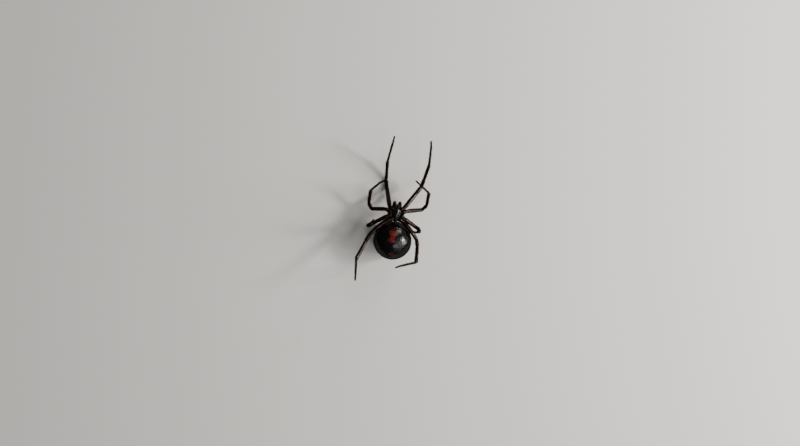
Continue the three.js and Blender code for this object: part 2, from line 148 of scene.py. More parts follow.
# How thick a segment is along its length, as shares of its own radius
segment_profiles = {
    "coxa": [(0, 0.85), (0.3, 1.0), (0.7, 1.05), (0.92, 1.02), (1, 0.86)],
    "trochanter": [(0, 0.84), (0.35, 1.0), (0.7, 1.02), (1, 0.86)],
    "femur": [(0, 0.8), (0.06, 0.9), (0.2, 1.04), (0.5, 1.03), (0.8, 0.94), (0.94, 0.96), (1, 0.84)],
    "patella": [(0, 0.82), (0.12, 0.94), (0.5, 1.03), (0.86, 1.05), (1, 0.86)],
    "tibia": [(0, 0.78), (0.07, 0.92), (0.3, 0.98), (0.62, 0.96), (0.88, 1.04), (0.96, 1.08), (1, 0.88)],
    "metatarsus": [(0, 1.16), (0.05, 1.22), (0.14, 1.04), (0.5, 0.96), (0.9, 0.92), (0.97, 1.0), (1, 0.84)],
    "tarsus": [(0, 0.88), (0.06, 1.0), (0.5, 0.94), (0.85, 0.76), (1, 0.42)],
}

palp_joints = [
    (0.5, 1.12, 1.85), (0.66, 1.36, 1.72), (0.69, 1.74, 1.48),
    (0.65, 1.92, 1.62), (0.59, 2.03, 1.86), (0.53, 2.12, 2.44),
]
palp_segment_names = ("trochanter", "femur", "patella", "tibia", "tarsus")
palp_radii = (0.25, 0.3, 0.28, 0.28, 0.3)

chelicera_path = [(0.28, 1.34, 0.95), (0.3, 1.58, 1.4), (0.29, 1.66, 1.8), (0.28, 1.6, 2.12)]
chelicera_radii = [(0, 0.22), (1, 0.25), (2, 0.24), (3, 0.17)]
fang_path = [(0.32, 1.58, 2.26), (0.26, 1.52, 2.36), (0.18, 1.43, 2.4), (0.08, 1.32, 2.4)]
fang_radii = [(0, 0.1), (1, 0.08), (2, 0.05), (3, 0.015)]
maxilla_path = [(0.5, 0.92, 1.98), (0.46, 1.08, 2.18), (0.28, 1.26, 2.28)]
maxilla_radii = [(0, 0.2), (1, 0.21), (2, 0.14)]
labium_path = [(0, 0.82, 2.14), (0, 0.96, 2.21), (0, 1.1, 2.18)]
labium_radii = [(0, 0.15), (1, 0.18), (2, 0.11)]
pedicel_path = [(0, -1.5, 1.55), (0.02, -2, 1.5), (0.06, -2.7, 1.4)]
pedicel_radii = [(0, 0.32), (1, 0.26), (2, 0.32)]

eye_radius = 0.12
eye_sink = 0.03
eye_knob_height, eye_knob_reach = 0.045, 0.17
head_centre_back = 0.9
eye_rows = {
    "eye_front_middle": (1.5, 0.2),
    "eye_front_side": (1.44, 0.52),
    "eye_rear_middle": (1.2, 0.2),
    "eye_rear_side": (1.16, 0.58),
}

spinneret_place = Vector((0, -2.98, 2.55))
spinneret_frame = (
    abdomen_frame @ Matrix.Translation(spinneret_place) @ Matrix.Rotation(math.radians(38), 4, "X")
)
# How deep the cones are rooted and how they taper; their shared base; two knobs; and the cones of one side:
# how far aside and forward, radius, length and lean
spinneret_root = 0.2
spinneret_taper = [(0, 1.0), (0.3, 1.04), (0.56, 0.96), (0.62, 0.8), (0.7, 0.8), (0.9, 0.66), (1, 0.5)]
spinneret_base_radius, spinneret_base_foot, spinneret_base_top = 0.42, -0.42, 0.1
spinneret_wall = [(0, 1.02), (0.4, 1.04), (0.8, 0.98), (1, 0.84)]
spinneret_knobs = [((0, 0.36, 0.08), 0.07), ((0, -0.42, 0.02), 0.17)]
spinneret_ring = [(0.2, 0.16, 0.17, 0.55, 0.1), (0.22, -0.2, 0.16, 0.5, 0.12), (0.08, -0.03, 0.1, 0.36, 0)]

# The red mark of the belly in the abdomen's own frame: its middle line, and half widths and how far forward
hourglass_x = -0.14
hourglass_half = [
    (0.2, -0.5), (0.62, -0.32), (0.86, -0.08), (0.8, 0.14), (0.6, 0.36), (0.5, 0.6),
    (0.5, 0.84), (0.6, 1.04), (0.78, 1.26), (0.88, 1.66), (0.9, 2.06), (0.8, 2.32), (0.4, 2.55),
]

# The photograph's tilt, and the directions of its right and its top on the floor
photo_tilt = math.radians(9.5)
photo_right = Vector((math.cos(photo_tilt), math.sin(photo_tilt), 0))
photo_up = Vector((-math.sin(photo_tilt), math.cos(photo_tilt), 0))


# Curves
def smooth_line(points):
    """A smooth line through points, as a function of the share of it from 0 to 1."""
    last = len(points) - 1

    def at(share):
        place = min(max(share, 0), 1) * last
        i = min(int(place), last - 1)
        t = place - i
        near = [Vector(points[min(max(k, 0), last)]) for k in range(i - 1, i + 3)]
        before, here, after, beyond = near
        leave = (after - before) / 2
        arrive = (beyond - here) / 2
        return (
            (2 * here - 2 * after + leave + arrive) * t ** 3
            + (3 * after - 3 * here - 2 * leave - arrive) * t ** 2
            + leave * t + here
        )

    return at


def profile(points):
    """Reads a smooth line of (place, value) points at any place."""
    samples = 240
    line = smooth_line(points)
    places, values = zip(*(line(i / samples) for i in range(samples + 1)))
    return lambda place: float(np.interp(place, places, values))


def dent(distance, reach):
    """1 at no distance, and softly down to 0 past the reach."""
    return math.exp(-(distance / reach) ** 2)


def off_line(point, start, end):
    """The distance of a flat point from a straight line between two others."""
    way = end - start
    share = min(max((point - start).dot(way) / way.length_squared, 0), 1)
    return (point - start - way * share).length


# Mesh making
def finish_piece(name, bm, finish):
    """Turns a shape drawn in millimetres into a piece in its place, riding on the body."""
    for vert in bm.verts:
        vert.co.z = max(vert.co.z, floor_level)
    bmesh.ops.recalc_face_normals(bm, faces=bm.faces)
    bmesh.ops.transform(bm, matrix=into_place, verts=bm.verts)
    mesh = bpy.data.meshes.new(name)
    bm.to_mesh(mesh)
    bm.free()
    mesh.shade_smooth()
    return ride_along(name, mesh, finish)


def added(name, data):
    """A new object in the scene."""
    thing = bpy.data.objects.new(name, data)
    bpy.context.scene.collection.objects.link(thing)
    return thing


def ride_along(name, mesh, finish):
    piece = added(name, mesh)
    mesh.materials.append(finish.material)
    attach(piece, "root")
    return piece


def frames_along(centres):
    """A frame at each centre with its Z axis along the line, turned as little as the bends allow."""
    ways = []
    for i in range(len(centres)):
        before, after = centres[max(i - 1, 0)], centres[min(i + 1, len(centres) - 1)]
        ways.append((after - before).normalized())
    turn = Vector((0, 0, 1)).rotation_difference(ways[0])
    frames = []
    for i, (centre, way) in enumerate(zip(centres, ways)):
        if i:
            turn = ways[i - 1].rotation_difference(way) @ turn
        frames.append(Matrix.Translation(centre) @ turn.to_matrix().to_4x4())
    return frames


def add_tube(bm, centres, radii, sides):
    """Extrudes a circle from centre to centre, and closes both ends."""
    frames = [
        place @ Matrix.Scale(radius, 4)
        for place, radius in zip(frames_along(centres), radii)
    ]
    ring = bmesh.ops.create_circle(bm, cap_ends=True, radius=1, segments=sides, matrix=frames[0])["verts"]
    edges = list({edge for vert in ring for edge in vert.link_edges})
    for last, place in zip(frames, frames[1:]):
        grown = bmesh.ops.extrude_edge_only(bm, edges=edges)["geom"]
        verts = [item for item in grown if isinstance(item, bmesh.types.BMVert)]
        kept = set(verts)
        edges = [
            item for item in grown
            if isinstance(item, bmesh.types.BMEdge) and set(item.verts) <= kept
        ]
        bmesh.ops.transform(bm, matrix=place @ last.inverted(), verts=verts)
    bmesh.ops.contextual_create(bm, geom=edges)


def add_round_tube(bm, centre_at, radius_at, length, steps, sides=20):
    """A tube whose ends are rounded off beyond its first and last centres."""
    cap_rings, cap_start, cap_reach = 4, 0.35, 0.55
    bend = [math.pi / 2 * (k + cap_start) / (cap_rings + cap_start) for k in range(cap_rings)]
    first, last = radius_at(0), radius_at(1)
    rings = [(-first * cap_reach * math.cos(angle) / length, first * math.sin(angle)) for angle in bend]
    rings += [(k / steps, radius_at(k / steps)) for k in range(steps + 1)]
    for angle in reversed(bend):
        rings.append((1 + last * cap_reach * math.cos(angle) / length, last * math.sin(angle)))
    places, radii = zip(*rings)
    add_tube(bm, [centre_at(place) for place in places], radii, sides)


def extended(line):
    """Carries a smooth line on, straight, past both of its ends."""
    step = 0.02
    start, end = line(0), line(1)
    way_in, way_out = (line(step) - start) / step, (end - line(1 - step)) / step

    def at(share):
        if share < 0:
            return start + way_in * share
        if share > 1:
            return end + way_out * (share - 1)
        return line(share)

    return at


def bent_tube(path, radii, sign=1, steps=20, sides=24, ripple=None):
    """A new rounded tube along a smooth path in the front body's frame, mirrored to a side by the sign."""
    places = [body_frame @ Vector((sign * x, y, z)) for x, y, z in path]
    line = extended(smooth_line(places))
    read = profile([(place / radii[-1][0], radius) for place, radius in radii])
    length = sum((b - a).length for a, b in zip(places, places[1:]))

    def radius_at(share):
        return read(share) * (ripple(share) if ripple else 1)

    bm = bmesh.new()
    add_round_tube(bm, line, radius_at, length, steps, sides)
    return bm


def add_ball(bm, centre, radius, detail=12):
    bmesh.ops.create_uvsphere(
        bm, u_segments=detail + 4, v_segments=detail, radius=radius, matrix=Matrix.Translation(centre)
    )


class Segment:
    """One segment of a leg or palp: where it runs, how thick it is, and points on its skin."""

    def __init__(self, name, start, end, radius, bow=None):
        self.name, self.start, self.end, self.radius = name, start, end, radius
        self.bow = bow or Vector((0, 0, 0))
        self.length = (end - start).length
        self.way = (end - start).normalized()
        self.turn = Vector((0, 0, 1)).rotation_difference(self.way).to_matrix()
        self.read = profile(segment_profiles[name])

    def centre(self, share):
        return self.start.lerp(self.end, share) + self.bow * math.sin(math.pi * min(max(share, 0), 1))

    def thickness(self, share):
        return self.radius * self.read(share)

    def add_to(self, bm):
        fewest_rings, ring_spacing = 8, 0.16
        steps = max(fewest_rings, round(self.length / ring_spacing))
        add_round_tube(bm, self.centre, self.thickness, self.length, steps)

    def skin(self, share, angle):
        """A point on the skin, the way out of it, and the way along the segment."""
        out = self.turn @ Vector((math.cos(angle), math.sin(angle), 0))
        return self.centre(share) + out * self.thickness(share), out, self.way


def segments_between(names, joints, radii, bows=None):
    return [
        Segment(name, joints[i], joints[i + 1], radii[i], (bows or {}).get(name))
        for i, name in enumerate(names)
    ]


def leg_segments(side, number):
    sign, i = body_sides[side], number - 1
    root_place, lengths, outer_radii = leg_pairs[i]
    femur_place, headings, slopes = leg_poses[side][i]
    root, femur_at = (
        body_frame @ Vector((sign * across, along, hip_level))
        for across, along in (root_place, femur_place)
    )
    joints = [root, root.lerp(femur_at, 1 - trochanter_share), femur_at]
    for heading, slope, length in zip(headings, slopes, lengths):
        level = math.cos(math.radians(slope))
        way = Vector((
            math.sin(math.radians(heading)) * level,
            math.cos(math.radians(heading)) * level,
            math.sin(math.radians(slope)),
        ))
        joints.append(joints[-1] + way * length)
    bow = Vector((sign, *femur_bow_way)).normalized() * femur_bows[i]
    radii = (coxa_radii[i], trochanter_radii[i], *outer_radii)
    return segments_between(leg_segment_names, joints, radii, {"femur": bow})


# Finishes
class Shade:
    """A value or colour in a material, which Python's operators add shader nodes to."""

    def __init__(self, finish, socket):
        self.finish, self.socket = finish, socket

    def math(self, operation, *values):
        return self.finish.node("ShaderNodeMath", {"operation": operation}, dict(enumerate(values)))

    def __add__(self, other):
        return self.math("ADD", self, other)

    def __radd__(self, other):
        return self.math("ADD", other, self)

    def __sub__(self, other):
        return self.math("SUBTRACT", self, other)

    def __rsub__(self, other):
        return self.math("SUBTRACT", other, self)

    def __mul__(self, other):
        return self.math("MULTIPLY", self, other)

    def __rmul__(self, other):
        return self.math("MULTIPLY", other, self)

    def __truediv__(self, other):
        return self.math("DIVIDE", self, other)

    def __abs__(self):
        return self.math("ABSOLUTE", self)

    def between(self, low, high):
        """0 below low, 1 above high, and smooth between."""
        settings = {"interpolation_type": "SMOOTHSTEP"}
        return self.finish.node("ShaderNodeMapRange", settings, {0: self, 1: low, 2: high})


class Finish:
    """A material with one shader, and the record's slot that it belongs to."""

    def __init__(self, name, slot, roughness, specular=0.3, coat=0.0, dark_rim=0.0):
        self.slot = slot
        self.material = bpy.data.materials.new(name)
        self.material.use_nodes = True
        self.tree = self.material.node_tree
        self.shader = self.tree.nodes["Principled BSDF"]
        self.set("Roughness", roughness)
        self.set("Specular IOR Level", specular)
        self.set("Coat Weight", coat)
        self.set("Coat Roughness", 0.05)
        if dark_rim:
            # a clear dark layer with no shine of its own, which keeps slanted views of the skin dark
            self.set("Coat Weight", 1.0)
            self.set("Coat IOR", 1.0)
            self.set("Coat Tint", colour(*[1 - dark_rim] * 3))

    def node(self, kind, settings=None, inputs=None, output=0):
        node = self.tree.nodes.new(kind)
        for key, value in (settings or {}).items():
            setattr(node, key, value)
        for key, value in (inputs or {}).items():
            self.give(node.inputs[key], value)
        return Shade(self, node.outputs[output])

    def give(self, socket, value):
        if isinstance(value, Shade):
            self.tree.links.new(value.socket, socket)
        else:
            socket.default_value = value

    def set(self, name, value):
        self.give(self.shader.inputs[name], value)

    def place(self, turn=0.0):
        """The place on the piece in millimetres from the middle of the abdomen, turned to its frame."""
        at = self.node("ShaderNodeTexCoord", output="Object")
        back = Matrix.Rotation(-turn, 3, "Z")
        return self.node("ShaderNodeMapping", {}, {
            "Vector": at,
            "Location": -(back @ (abdomen_middle / MM)),
            "Rotation": (0, 0, -turn),
            "Scale": (1 / MM, 1 / MM, 1 / MM),
        })

    def split(self, vector):
        return [self.node("ShaderNodeSeparateXYZ", {}, {0: vector}, output=k) for k in range(3)]

    def far(self, at, point):
        """How far a place is from a point, in millimetres."""
        settings = {"operation": "DISTANCE"}
        return self.node("ShaderNodeVectorMath", settings, {0: at, 1: point}, output="Value")

    def noise(self, at, scale, detail=3.0):
        return self.node("ShaderNodeTexNoise", {}, {"Vector": at, "Scale": scale, "Detail": detail})

    def cells(self, at, scale):
        """0 in the middle of each cell of an uneven pattern, and rising towards its edges."""
        return self.node("ShaderNodeTexVoronoi", {}, {"Vector": at, "Scale": scale})

    def mix(self, share, low, high):
        return self.node("ShaderNodeMix", {"data_type": "RGBA"}, {0: share, 6: low, 7: high}, output=2)

    def colour_between(self, share, low, high):
        self.set("Base Color", self.mix(share, colour(*low), colour(*high)))

    def bump(self, height, distance, strength):
        """Distance is the height of the relief in millimetres."""
        sockets = {"Height": height, "Distance": distance * MM, "Strength": strength}
        self.set("Normal", self.node("ShaderNodeBump", {}, sockets))


def colour(red, green, blue):
    return (red, green, blue, 1.0)


def hourglass_mask(finish, at):
    """1 inside the red mark of the belly and 0 outside, with a soft and slightly uneven edge."""
    margin, widest, softness = 0.1, 1.2, 0.15
    lowest, level_from = 0.8, 1.4
    x, y, z = finish.split(at)
    first, last = hourglass_half[0][1] - margin, hourglass_half[-1][1] + margin
    curve = finish.tree.nodes.new("ShaderNodeFloatCurve")
    line = curve.mapping.curves[0]
    line.points[0].location = (0, 0)
    line.points[1].location = (1, 0)
    for half, along in hourglass_half:
        line.points.new((along - first) / (last - first), half / widest)
    curve.mapping.update()
    finish.give(curve.inputs["Value"], (y - first) / (last - first))
    half_width = Shade(finish, curve.outputs[0]) * widest
    uneven = (finish.noise(at, 2.6, 4.0) - 0.5) * 0.3
    inside = half_width - abs(x - hourglass_x) + uneven
    return inside.between(-softness, softness) * z.between(lowest, level_from)


def abdomen_finish():
    finish = Finish("glossy_black_abdomen", "abdomen", 0.3, specular=0.6, dark_rim=0.5)
    at = finish.place(turn=abdomen_turn)
    x, y, _ = finish.split(at)
    mirrored = finish.node("ShaderNodeVectorMath", {"operation": "ABSOLUTE"}, {0: at})
    cloud = finish.noise(at, 0.8, 5.0)
    skin = finish.mix(cloud.between(0.4, 0.7), colour(0.004, 0.003, 0.0035), colour(0.014, 0.008, 0.008))
    rear = finish.far(at, tuple(spinneret_place)).between(1.3, 0.5)
    skin = finish.mix(rear * cloud.between(0.3, 0.6) * 0.8, skin, colour(0.045, 0.013, 0.012))
    lungs = finish.far(mirrored, (1.25, 2.95, 2.1)).between(0.6, 0.35)
    skin = finish.mix(lungs * 0.5, skin, colour(0.04, 0.02, 0.014))
    # Painted shade in the red mark: its rear lobe is a darker crimson than its orange front lobe, and its
    # front and rear ends are dimmed nearly to black. Its waist is darker as well.
    red = finish.mix(y.between(0.1, 1.3), colour(0.155, 0.012, 0.02), colour(0.25, 0.036, 0.012))
    waist = y.between(0.35, 0.7) * y.between(1.25, 0.9)
    red = finish.mix(waist, red, colour(0.145, 0.009, 0.008))
    shaded_red = finish.mix(y.between(1.85, 2.25), red, colour(0.045, 0.003, 0.008))
    shaded_red = finish.mix(y.between(-0.02, -0.42), shaded_red, colour(0.05, 0.006, 0.01))
    spots = finish.noise(at, 4.0, 4.0).between(0.42, 0.72)
    mottled_and_shaded = finish.mix(spots * 0.5, shaded_red, colour(0.12, 0.014, 0.012))
    # Painted shade: the red mark is darker towards -X, the side turned away from the lights. The spots just
    # above are its own uneven colour.
    mottled_and_shaded = finish.mix(x.between(-0.2, -0.95) * 0.55, mottled_and_shaded, colour(0.05, 0.006, 0.006))
    mask = hourglass_mask(finish, at)
    finish.set("Base Color", finish.mix(mask, skin, mottled_and_shaded))
    finish.set("Roughness", finish.noise(at, 2.4, 4.0).between(0.4, 0.64) * 0.2 + mask * 0.12 + 0.14)
    sockets = finish.cells(at, 5.5).between(0.0, 0.22)
    relief = sockets * 0.6 + finish.noise(at, 2.0, 6.0) * 3.2 + finish.noise(at, 16.0) * 0.3
    finish.bump(relief, 0.02, 0.6)
    return finish


def shell_finish(name, specular):
    finish = Finish(name, "shell", 0.3, specular=specular, dark_rim=0.5)
    at = finish.place()
    cloud = finish.noise(at, 1.4, 5.0).between(0.4, 0.7)
    finish.colour_between(cloud, (0.004, 0.003, 0.003), (0.016, 0.01, 0.008))
    finish.set("Roughness", finish.noise(at, 5.0) * 0.1 + 0.05)
    relief = finish.cells(at, 12.0).between(0.0, 0.6) * 0.7 + finish.noise(at, 4.0, 3.0)
    finish.bump(relief, 0.005, 0.5)
    return finish


def leg_finish():
    finish = Finish("dark_brown_leg", "leg", 0.3, specular=0.45, dark_rim=0.5)
    finish.set("Specular Tint", colour(1.0, 0.8, 0.7))
    at = finish.place()
    joint = finish.node("ShaderNodeAttribute", {"attribute_name": "joint"}, output="Fac")
    outer = finish.node("ShaderNodeAttribute", {"attribute_name": "outer"}, output="Fac")
    cloud = finish.noise(at, 1.6, 5.0)
    shell = finish.mix(
        cloud.between(0.35, 0.75), colour(0.004, 0.001, 0.0008), colour(0.011, 0.003, 0.0015))
    shell = finish.mix(outer, shell, colour(0.036, 0.011, 0.004))
    finish.set("Base Color", finish.mix(joint * 0.4, shell, colour(0.012, 0.003, 0.001)))
    finish.set("Roughness", cloud * 0.1 + joint * 0.04 + 0.06)
    relief = finish.cells(at, 14.0).between(0.0, 0.5) + finish.noise(at, 6.0, 4.0)
    finish.bump(relief, 0.005, 0.5)
    return finish


def mouth_finish():
    finish = Finish("brown_mouthparts", "mouthpart", 0.32, specular=0.4, dark_rim=0.4)
    at = finish.place()
    cloud = finish.noise(at, 4.0).between(0.35, 0.7)
    finish.colour_between(cloud, (0.006, 0.003, 0.002), (0.018, 0.009, 0.006))
    finish.bump(finish.noise(at, 12.0), 0.01, 0.5)
    return finish


def spinneret_finish():
    finish = Finish("reddish_brown_spinnerets", "mouthpart", 0.4, specular=0.4, dark_rim=0.4)
    at = finish.place()
    cloud = finish.noise(at, 5.0, 4.0).between(0.35, 0.7)
    finish.colour_between(cloud, (0.02, 0.007, 0.006), (0.055, 0.02, 0.014))
    finish.bump(finish.noise(at, 14.0, 4.0), 0.015, 0.6)
    return finish


def fang_finish():
    finish = Finish("dark_red_fang", "mouthpart", 0.15, specular=0.5, coat=0.4)
    at = finish.place()
    cloud = finish.noise(at, 6.0).between(0.3, 0.7)
    finish.colour_between(cloud, (0.02, 0.006, 0.004), (0.07, 0.02, 0.01))
    return finish


def eye_finish():
    finish = Finish("dark_eye", "eye", 0.05, specular=0.5, coat=1.0)
    at = finish.place()
    cloud = finish.noise(at, 6.0)
    finish.colour_between(cloud, (0.004, 0.003, 0.004), (0.016, 0.012, 0.01))
    return finish


def hair_finish(name, slot, dark, light):
    finish = Finish(name, slot, 0.5, specular=0.05, dark_rim=0.5)
    at = finish.place()
    finish.colour_between(finish.noise(at, 3.0).between(0.3, 0.7), dark, light)
    return finish


# Abdomen
# Its uneven skin: heights and scales. The belly's plate, slit and lung covers: how far aside and forward,
# half width, half length and height. Rings round the spinnerets: how far off, width and depth. Muscle pits:
# how far aside and forward, belly or back, and radius
abdomen_waves = [(0.02, 2.6), (0.011, 6.0)]
furrow = {"y": 2.72, "bend": 0.07, "depth": 0.06, "width": 0.07, "reach": 1.9}
belly_forms = [(0, 3.0, 0.42, 0.2, 0.1), (0, 2.93, 0.16, 0.09, -0.09), (1.3, 3.05, 0.6, 0.32, 0.05)]
mound_distance = 4
mound_rings = [(0.75, 0.09, 0.03), (1.05, 0.08, 0.02)]
muscle_pits = [(1.0, 1.9, -1, 0.16), (1.15, -0.4, -1, 0.14), (0.8, -1.5, 1, 0.09)]
pit_depth = 0.045


def abdomen_point(way):
    """The plain shape of the abdomen, that the solid has too."""
    size = abdomen_size
    reach = size["front"] if way.y > 0 else size["rear"]
    height = size["belly"] if way.z > 0 else size["back"]
    tuck = 1 - shoulder_tuck * max(way.y, 0) * max(way.z + 0.3, 0)
    mound = mound_height * math.exp(-(1 - way.dot(mound_way)) / mound_spread)
    lean = back_lean * max(-way.z, 0) ** 2
    return Vector((
        way.x * (size["half_width"] * tuck + mound),
        way.y * (reach * tuck + mound) + lean,
        way.z * (height + mound),
    ))


def abdomen_relief(way, place):
    """How far the skin stands out of the plain shape, in millimetres."""
    x, y = abs(place.x), place.y
    height = sum(wave * noise.noise(way * scale) for wave, scale in abdomen_waves)
    if place.z > 0:
        from_furrow = abs(y - furrow["y"] - furrow["bend"] * x * x)
        height -= furrow["depth"] * dent(from_furrow, furrow["width"]) * dent(x, furrow["reach"])
        for form_x, form_y, wide, long, rise in belly_forms:
            height += rise * dent(math.hypot((x - form_x) / wide, (y - form_y) / long), 1.0)
    for pit_x, pit_y, side, radius in muscle_pits:
        if place.z * side > 0:
            height -= pit_depth * dent(math.hypot(x - pit_x, y - pit_y), radius)
    from_mound = math.acos(min(max(way.dot(mound_way), -1), 1)) * mound_distance
    for ring, width, depth in mound_rings:
        height -= depth * dent(from_mound - ring, width)
    return height


def abdomen_piece(finish):
    bm = bmesh.new()
    bmesh.ops.create_icosphere(bm, subdivisions=7, radius=1)
    for vert in bm.verts:
        way = vert.co.normalized()
        place = abdomen_point(way)
        vert.co = abdomen_frame @ (place + way * abdomen_relief(way, place))
    piece = finish_piece("abdomen_skin", bm, finish)
    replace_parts(piece, "abdomen", "hourglass")
    return piece


# Front half of the body
carapace_width_line = smooth_line(carapace_widths)
carapace_height_line = smooth_line(carapace_heights)


def eye_centre(name, sign):
    steps = 1000
    y, across = eye_rows[name]
    share = next(k / steps for k in range(steps + 1) if carapace_width_line(k / steps)[0] >= y)
    half = carapace_width_line(share)[1]
    drop = carapace_height_line(share)[1] * math.sqrt(1 - (across / half) ** 2)
    surface = Vector((across, y, carapace_rim - drop))
    inward = (Vector((0, y - head_centre_back, carapace_rim)) - surface).normalized()
    centre = surface + inward * eye_sink
    return Vector((sign * centre.x, centre.y, centre.z))


eye_centres = [eye_centre(name, sign) for name in eye_rows for sign in (1, -1)]
# The pit of the carapace, and its grooves: where each one starts and ends, its depth and its width
fovea, fovea_half_width, fovea_half_length, fovea_depth = Vector((0, -0.42)), 0.26, 0.13, 0.15
head_corner, rib_start = Vector((0.55, 0.25)), Vector((0.2, -0.4))
carapace_grooves = [
    (fovea, head_corner, 0.05, 0.09),
    (head_corner, Vector((0.95, 0.75)), 0.05, 0.09),
    *((rib_start, Vector(end), 0.035, 0.1) for end in ((1.25, 0.1), (1.3, -0.62), (0.85, -1.25))),
]


def carapace_relief(place):
    """How far the back of the carapace stands out, in millimetres: its pit, grooves and eye knobs."""
    flat = Vector((abs(place.x), place.y))
    wave, scale = 0.01, 3.0
    height = wave * noise.noise(place * scale)
    from_pit = math.hypot(flat.x / fovea_half_width, (flat.y - fovea.y) / fovea_half_length)
    height -= fovea_depth * dent(from_pit, 1.0)
    for start, end, depth, width in carapace_grooves:
        height -= depth * dent(off_line(flat, start, end), width)
    for centre in eye_centres:
        height += eye_knob_height * dent((place - centre).length, eye_knob_reach)
    return height


def domed(widths, rim, below, above, detail, relief=None, notches=()):
    """A ball drawn out to half widths, and to its heights below (a number or a line) and above its rim."""
    rim_fade = 4
    width_line = smooth_line(widths)
    bm = bmesh.new()
    bmesh.ops.create_icosphere(bm, subdivisions=detail, radius=1)
    for vert in bm.verts:
        share = (1 + vert.co.y) / 2
        along, half = width_line(share)
        height = above
        if vert.co.z < 0:
            height = below(share)[1] if callable(below) else below
        round_angle = math.atan2(vert.co.z, vert.co.x)
        half *= 1 - sum(notch_depth * dent(along - notch, notch_width) for notch in notches)
        out = Vector((math.cos(round_angle), 0, math.sin(round_angle)))
        place = Vector((half * out.x, along, rim + height * out.z))
        if relief and out.z < 0:
            place += out * relief(place) * min(-out.z * rim_fade, 1)
        vert.co = body_frame @ place
    return bm


def cephalothorax_piece(finish):
    shell = domed(
        carapace_widths, carapace_rim, carapace_height_line, carapace_underside,
        detail=7, relief=carapace_relief,
    )
    core = domed(underbody_widths, underbody_z, underbody_depth, underbody_rise, detail=5)
    spare = bpy.data.meshes.new("spare")
    core.to_mesh(spare)
    core.free()
    shell.from_mesh(spare)
    bpy.data.meshes.remove(spare)
    piece = finish_piece("cephalothorax_skin", shell, finish)
    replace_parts(piece, "cephalothorax")
    return piece


def sternum_piece(finish):
    bm = domed(
        sternum_widths, sternum_z, sternum_depth, sternum_rise, detail=6, notches=sternum_notches
    )
    piece = finish_piece("sternum_shield", bm, finish)
    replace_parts(piece, "sternum")
    return piece


def eye_pieces(finish):
    for name in eye_rows:
        for side, sign in body_sides.items():
            bm = bmesh.new()
            add_ball(bm, body_frame @ eye_centre(name, sign), eye_radius, detail=20)
            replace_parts(finish_piece(f"{name}_lens_{side}", bm, finish), f"{name}_{side}")


def mouth_pieces(shell, brown, fang):
    for side, sign in body_sides.items():
        bm = bent_tube(chelicera_path, chelicera_radii, sign, steps=30)
        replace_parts(finish_piece(f"chelicera_skin_{side}", bm, shell), f"chelicera_{side}")
        bm = bent_tube(fang_path, fang_radii, sign, sides=16)
        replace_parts(finish_piece(f"fang_point_{side}", bm, fang), f"fang_{side}")
        bm = bent_tube(maxilla_path, maxilla_radii, sign)
        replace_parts(finish_piece(f"maxilla_skin_{side}", bm, brown), f"maxilla_{side}")
    bm = bent_tube(labium_path, labium_radii)
    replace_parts(finish_piece("labium_skin", bm, brown), "labium")


def pedicel_piece(finish):
    ripples, ripple_height = 5, 0.07
    bm = bent_tube(
        pedicel_path, pedicel_radii, steps=48,
        ripple=lambda share: 1 + ripple_height * math.sin(share * ripples * math.tau),
    )
    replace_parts(finish_piece("pedicel_skin", bm, finish), "pedicel")


def spinneret_tips():
    """Each spinneret's root, its way out, its radius and its length, in the frame of the group."""
    for x, y, radius, length, lean in spinneret_ring:
        for sign in body_sides.values():
            way = Vector((sign * math.sin(lean), 0, math.cos(lean)))
            yield Vector((sign * x, y, 0)), way, radius, length


def spinnerets_piece(finish):
    bm = bmesh.new()
    taper, wall = profile(spinneret_taper), profile(spinneret_wall)
    for root, way, radius, length in spinneret_tips():
        start = spinneret_frame @ (root - way * spinneret_root)
        end = spinneret_frame @ (root + way * length)
        add_round_tube(
            bm, lambda share: start.lerp(end, share), lambda share: radius * taper(share),
            length + spinneret_root, steps=18, sides=18,
        )
    for place, radius in spinneret_knobs:
        add_ball(bm, spinneret_frame @ Vector(place), radius)
    foot = spinneret_frame @ Vector((0, 0, spinneret_base_foot))
    top = spinneret_frame @ Vector((0, 0, spinneret_base_top))
    add_round_tube(
        bm, lambda share: foot.lerp(top, share), lambda share: spinneret_base_radius * wall(share),
        spinneret_base_top - spinneret_base_foot, steps=12, sides=32,
    )
    piece = finish_piece("spinneret_group", bm, finish)
    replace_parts(piece, "spinnerets")


# Legs and palps
# Each segment's skin: how brown the black is, how many hairs on a square millimetre, and their length
segment_skins = {
    "coxa": (0.0, 45, 0.16), "trochanter": (0.05, 50, 0.16), "femur": (0.22, 60, 0.2),
    "patella": (0.35, 75, 0.22), "tibia": (0.45, 90, 0.26), "metatarsus": (0.8, 150, 0.26),
    "tarsus": (0.9, 190, 0.22),
}
joint_reach = 0.25
joint_ball_share = 0.98


def limb_mesh(segments):
    """Closed segments with a ball at each joint; two values on each point tell joints and brown parts."""
    bm = bmesh.new()
    joint = bm.verts.layers.float.new("joint")
    outer = bm.verts.layers.float.new("outer")
    done = 0
    for segment, following in zip(segments, segments[1:] + [None]):
        browning = segment_skins[segment.name][0]
        segment.add_to(bm)
        bm.verts.ensure_lookup_table()
        for vert in bm.verts[done:]:
            share = (vert.co - segment.start).dot(segment.way) / segment.length
            from_end = min(share, 1 - share) * segment.length
            vert[joint] = 1 - min(max(from_end / joint_reach, 0), 1)
            vert[outer] = browning
        done = len(bm.verts)
        if following:
            thinner = min(segment.thickness(1), following.thickness(0))
            add_ball(bm, segment.end, thinner * joint_ball_share)
            bm.verts.ensure_lookup_table()
            for vert in bm.verts[done:]:
                vert[joint] = 1.0
                vert[outer] = browning
            done = len(bm.verts)
    return bm


def leg_piece(side, number, finish):
    piece = finish_piece(f"leg_skin_{side}_{number}", limb_mesh(leg_segments(side, number)), finish)
    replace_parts(piece, f"leg_{side}_{number}")


def palp_segments(side):
    joints = [body_frame @ Vector((body_sides[side] * x, y, z)) for x, y, z in palp_joints]
    return segments_between(palp_segment_names, joints, palp_radii)


def palp_piece(side, finish):
    piece = finish_piece(f"palp_skin_{side}", limb_mesh(palp_segments(side)), finish)
    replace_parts(piece, f"pedipalp_{side}")


